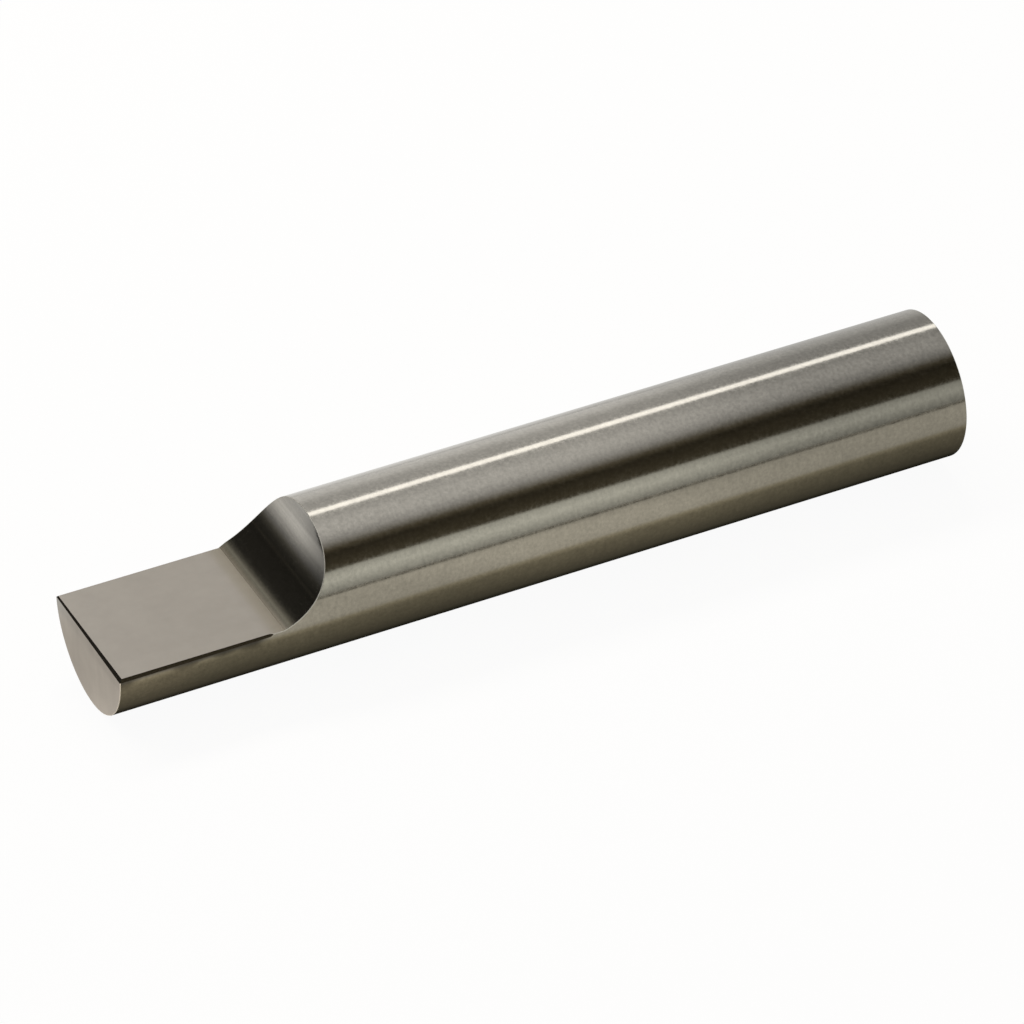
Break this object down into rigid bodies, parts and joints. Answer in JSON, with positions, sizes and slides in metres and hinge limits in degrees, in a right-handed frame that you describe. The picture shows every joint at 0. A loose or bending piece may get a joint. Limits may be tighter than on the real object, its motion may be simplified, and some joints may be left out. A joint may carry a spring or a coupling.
{
  "type": "half-round engraving graver",
  "caption": "Ground round rod tool: plain cylindrical shank, tip ground away to a half-round with a long flat that blends back to full diameter through a concave run-out.",
  "frame": {"origin": "on the axis of the rod, at the middle of the rear face", "axes": "+X along the axis out of the rear face, so the tip points along -X; +Z along the normal of the ground flat; +Y across"},
  "size_m": [0.036, 0.006, 0.006],
  "materials": {
    "ground_carbide": "ground, warm grey, fine cross marks"
  },
  "bodies": {
    "root": {"graver": "ground_carbide"}
  },
  "joints": []
}
